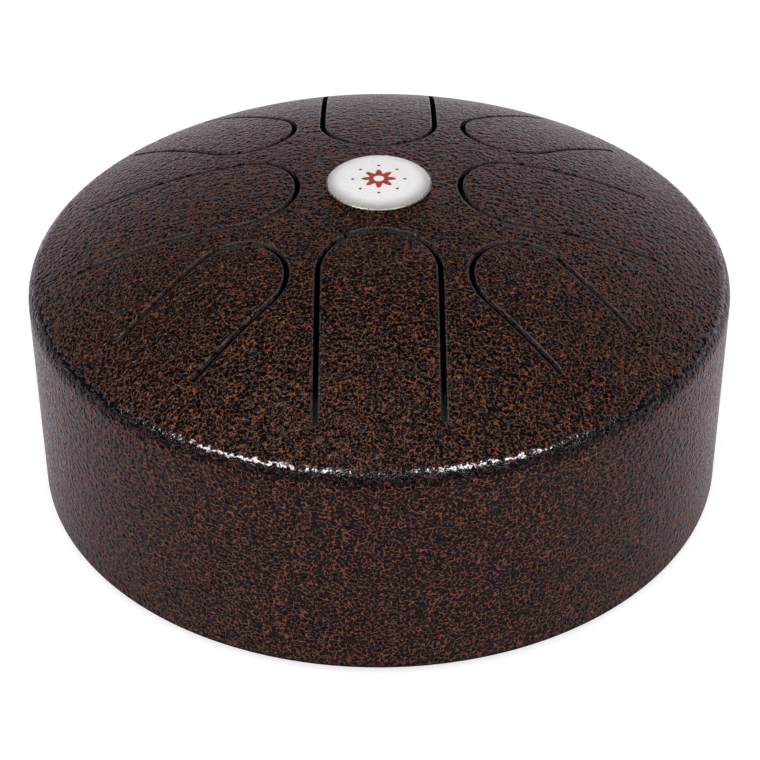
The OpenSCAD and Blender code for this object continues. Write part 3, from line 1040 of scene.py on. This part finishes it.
def soft_box(name, elevation, azimuth, distance, size, tilt, power, passed_by):
    """A rectangular lamp that looks at the drum from an elevation and from an angle around
    the axis, counted from the front towards the right, and is tilted about its own line.
    The kinds of rays in passed_by don't meet it."""
    lamp = bpy.data.lights.new(name, "AREA")
    lamp.shape = "RECTANGLE"
    lamp.size, lamp.size_y = size
    lamp.energy = power
    holder = bpy.data.objects.new(name, lamp)
    elevation, azimuth = math.radians(elevation), math.radians(azimuth)
    flat = distance * math.cos(elevation)
    holder.location = (
        LAMP_AIM[0] + flat * math.sin(azimuth), LAMP_AIM[1] - flat * math.cos(azimuth),
        LAMP_AIM[2] + distance * math.sin(elevation))
    holder.rotation_euler = (math.pi / 2 - elevation, 0, azimuth)
    holder.rotation_euler.rotate_axis("Z", math.radians(tilt))
    for rays in passed_by:
        setattr(holder, "visible_" + rays, False)
    bpy.context.scene.collection.objects.link(holder)


def background_seen(tree):
    """Three masks: camera rays, these with rays through resin, and all with glossy rays."""
    path = add_node(tree, "ShaderNodeLightPath").outputs
    camera_seen = path["Is Camera Ray"]
    plain = math_node(tree, "MAXIMUM", camera_seen, path["Is Transmission Ray"])
    return camera_seen, plain, math_node(tree, "MAXIMUM", plain, path["Is Glossy Ray"])


def add_floor(scene, studio):
    """The white floor, which glows round the drum only where it is seen or reflected."""
    half = studio.floor_size / 2
    mesh = bpy.data.meshes.new("floor")
    mesh.from_pydata(
        [(-half, -half, 0), (half, -half, 0), (half, half, 0), (-half, half, 0)], [],
        [(0, 1, 2, 3)])
    floor = bpy.data.objects.new("floor", mesh)
    scene.collection.objects.link(floor)
    material, tree, shader = new_material("Floor", **{
        "Base Color": (*studio.floor_color, 1), "Roughness": FLOOR_ROUGHNESS,
        "Specular IOR Level": FLOOR_GLOSS})
    place = object_coordinates(tree)
    near = ramp(tree, vector_node(tree, "LENGTH", {0: place}, "Value"), GLOW_FROM, GLOW_TO)
    camera_seen, _, seen = background_seen(tree)
    place = split(tree, place)
    reflected = product(tree, ramp(tree, place["Y"], *FLOOR_DEPTH),
        ramp(tree, place["X"], *FLOOR_ACROSS))
    glow = mix_value(tree, camera_seen, reflected, FLOOR_SEEN)
    feed(tree, shader, {
        "Emission Color": mix_color(tree, camera_seen, studio.glow, WHITE),
        "Emission Strength": product(tree, glow, product(tree, seen, near))})
    floor.data.materials.append(material)


def add_world(scene, studio):
    """The world's even light, and the white backdrop where it is seen or reflected."""
    world = bpy.data.worlds.new("studio")
    scene.world = world
    world.use_nodes = True
    tree = world.node_tree
    _, plain, seen = background_seen(tree)
    toward = split(tree, add_node(tree, "ShaderNodeTexCoord").outputs["Generated"])
    backdrop = product(tree, ramp(tree, toward["Z"], *BACKDROP_RISE),
        ramp(tree, toward["X"], *BACKDROP_ACROSS))
    backdrop = math_node(tree, "MAXIMUM", backdrop, plain)
    feed(tree, tree.nodes["Background"], {
        "Color": mix_color(tree, plain, studio.glow, WHITE),
        "Strength": mix_value(tree, seen, WORLD_LIGHT, backdrop)})


def add_camera(scene, studio):
    """The camera, in front of the drum at a distance and a pitch from where it looks."""
    camera = bpy.data.objects.new("camera", bpy.data.cameras.new("camera"))
    camera.data.lens = studio.lens
    camera.data.sensor_width = SENSOR_WIDTH
    camera.data.clip_end = CLIP_END
    camera.location = (
        studio.aim_x, -studio.distance * math.cos(studio.pitch),
        studio.aim_z + studio.distance * math.sin(studio.pitch))
    camera.rotation_euler = (math.pi / 2 - studio.pitch, 0, 0)
    camera.rotation_euler.rotate_axis("Z", studio.roll)
    scene.collection.objects.link(camera)
    scene.camera = camera


class TONGUEDRUM_OT_stage(bpy.types.Operator):
    """Set up the floor, the lamps, the world and the camera"""

    bl_idname = "tongue_drum.stage"
    bl_label = "Stage"

    def execute(self, context):
        scene = context.scene
        studio = scene.tongue_drum.studio
        add_floor(scene, studio)
        add_world(scene, studio)
        for name, values in LAMPS.items():
            soft_box(name, *values)
        add_camera(scene, studio)
        scene.view_settings.view_transform = "Standard"
        return {"FINISHED"}


STEPS = (
    TONGUEDRUM_OT_head, TONGUEDRUM_OT_tongues, TONGUEDRUM_OT_badge, TONGUEDRUM_OT_base,
    TONGUEDRUM_OT_feet, TONGUEDRUM_OT_stage,
)


class TONGUEDRUM_PT_panel(bpy.types.Panel):
    """Lists the drum's settings and its building steps"""

    bl_label = "Steel Tongue Drum"
    bl_idname = "TONGUEDRUM_PT_panel"
    bl_space_type = "VIEW_3D"
    bl_region_type = "UI"
    bl_category = "Tongue Drum"

    def draw(self, context):
        settings = context.scene.tongue_drum
        for group in (settings.shape, settings.coat, settings.badge, settings.studio):
            box = self.layout.box()
            for name in group.__annotations__:
                box.prop(group, name)
        for step in STEPS:
            self.layout.operator(step.bl_idname)


CLASSES = (
    DrumShape, CoatLook, BadgeLook, StudioLook, DrumSettings, *STEPS, TONGUEDRUM_PT_panel)


def register():
    for item in CLASSES:
        bpy.utils.register_class(item)
    bpy.types.Scene.tongue_drum = PointerProperty(type=DrumSettings)


def unregister():
    del bpy.types.Scene.tongue_drum
    for item in reversed(CLASSES):
        bpy.utils.unregister_class(item)


def main():
    register()
    for step in STEPS:
        area, name = step.bl_idname.split(".")
        getattr(getattr(bpy.ops, area), name)()


if __name__ == "__main__":
    main()
